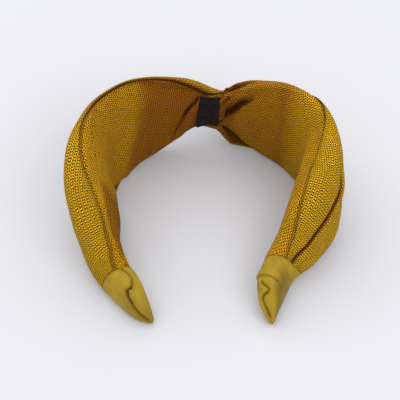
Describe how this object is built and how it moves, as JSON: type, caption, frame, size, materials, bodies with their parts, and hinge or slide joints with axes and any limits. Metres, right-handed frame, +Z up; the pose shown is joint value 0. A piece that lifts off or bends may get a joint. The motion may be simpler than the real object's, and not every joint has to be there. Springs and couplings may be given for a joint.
{
  "type": "knotted headband",
  "caption": "Padded knit headband on a sprung hoop, two wide lobes crossed in a knot at the crown, arms tapering to cloth-wrapped ends.",
  "frame": {"origin": "middle of the footprint, on the table that the lower rim lies on", "axes": "+Z up across the band's width, +Y towards the knot at the crown, +X towards the right arm as seen from the open ends"},
  "size_m": [0.147, 0.1376, 0.0609],
  "materials": {
    "hoop_core": "blued spring strip",
    "knot_core": "brushed fine rib knit, mustard",
    "knot_over_band": "brushed fine rib knit, mustard",
    "knot_under_band": "brushed fine rib knit, mustard",
    "label": "black woven tape",
    "left_outer_panel": "brushed fine rib knit, mustard",
    "left_inner_panel": "brushed fine rib knit, mustard, shaded side",
    "left_upper_piping": "knit-covered cord, mustard",
    "left_lower_piping": "knit-covered cord, mustard",
    "left_foam_pad": "soft wadding",
    "left_end_wrap": "smooth plain-woven cotton, mustard",
    "left_end_glue": "hot-melt glue",
    "right_outer_panel": "brushed fine rib knit, mustard",
    "right_inner_panel": "brushed fine rib knit, mustard, shaded side",
    "right_upper_piping": "knit-covered cord, mustard",
    "right_lower_piping": "knit-covered cord, mustard",
    "right_foam_pad": "soft wadding",
    "right_end_wrap": "smooth plain-woven cotton, mustard",
    "right_end_glue": "hot-melt glue"
  },
  "bodies": {
    "crown": {"hoop_core": "hoop_core", "knot_core": "knot_core", "knot_over_band": "knot_over_band", "knot_under_band": "knot_under_band", "label": "label"},
    "left_arm": {"left_outer_panel": "left_outer_panel", "left_inner_panel": "left_inner_panel", "left_upper_piping": "left_upper_piping", "left_lower_piping": "left_lower_piping", "left_foam_pad": "left_foam_pad", "left_end_wrap": "left_end_wrap", "left_end_glue": "left_end_glue"},
    "right_arm": {"right_outer_panel": "right_outer_panel", "right_inner_panel": "right_inner_panel", "right_upper_piping": "right_upper_piping", "right_lower_piping": "right_lower_piping", "right_foam_pad": "right_foam_pad", "right_end_wrap": "right_end_wrap", "right_end_glue": "right_end_glue"}
  },
  "joints": [
    {"name": "left_arm_spread", "type": "hinge", "parent": "crown", "child": "left_arm", "pos_m": [-0.028, 0.0542, 0], "axis": [0, 0, -1], "range_deg": [0, 14], "stiffness_Nm_per_rad": 0.8, "deforming": ["hoop_core"]},
    {"name": "right_arm_spread", "type": "hinge", "parent": "crown", "child": "right_arm", "pos_m": [0.0296, 0.0542, 0], "axis": [0, 0, 1], "range_deg": [0, 14], "stiffness_Nm_per_rad": 0.8, "deforming": ["hoop_core"]}
  ]
}
